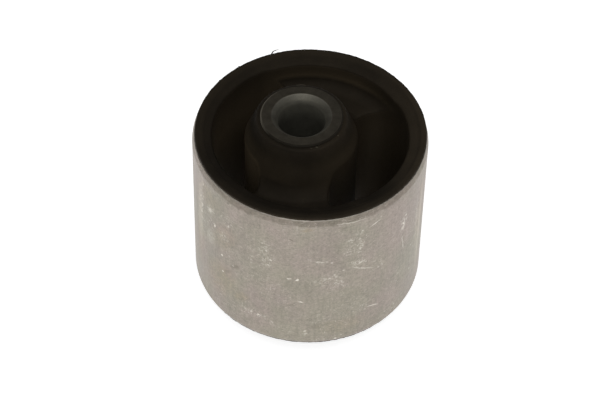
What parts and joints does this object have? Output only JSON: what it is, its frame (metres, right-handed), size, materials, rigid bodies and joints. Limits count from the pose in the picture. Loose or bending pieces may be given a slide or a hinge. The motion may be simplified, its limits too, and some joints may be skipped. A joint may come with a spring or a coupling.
{
  "type": "control arm bushing",
  "caption": "Cylindrical suspension bush: a rubber body with kidney voids is bonded between a metal outer sleeve and an off-centre inner sleeve with a bolt bore.",
  "frame": {"origin": "middle of the outer sleeve, on its axis", "axes": "+Z along the bush towards the end with the longer lead-in taper, +X from the narrow void towards the wide one, so the inner sleeve is off the axis along -X"},
  "size_m": [0.06, 0.06, 0.0596],
  "materials": {
    "outer_sleeve": "satin, with handling marks",
    "rubber_body": "matte, moulded",
    "inner_sleeve": "dark coated"
  },
  "bodies": {
    "root": {"outer_sleeve": "outer_sleeve", "rubber_body": "rubber_body", "inner_sleeve": "inner_sleeve"}
  },
  "joints": []
}
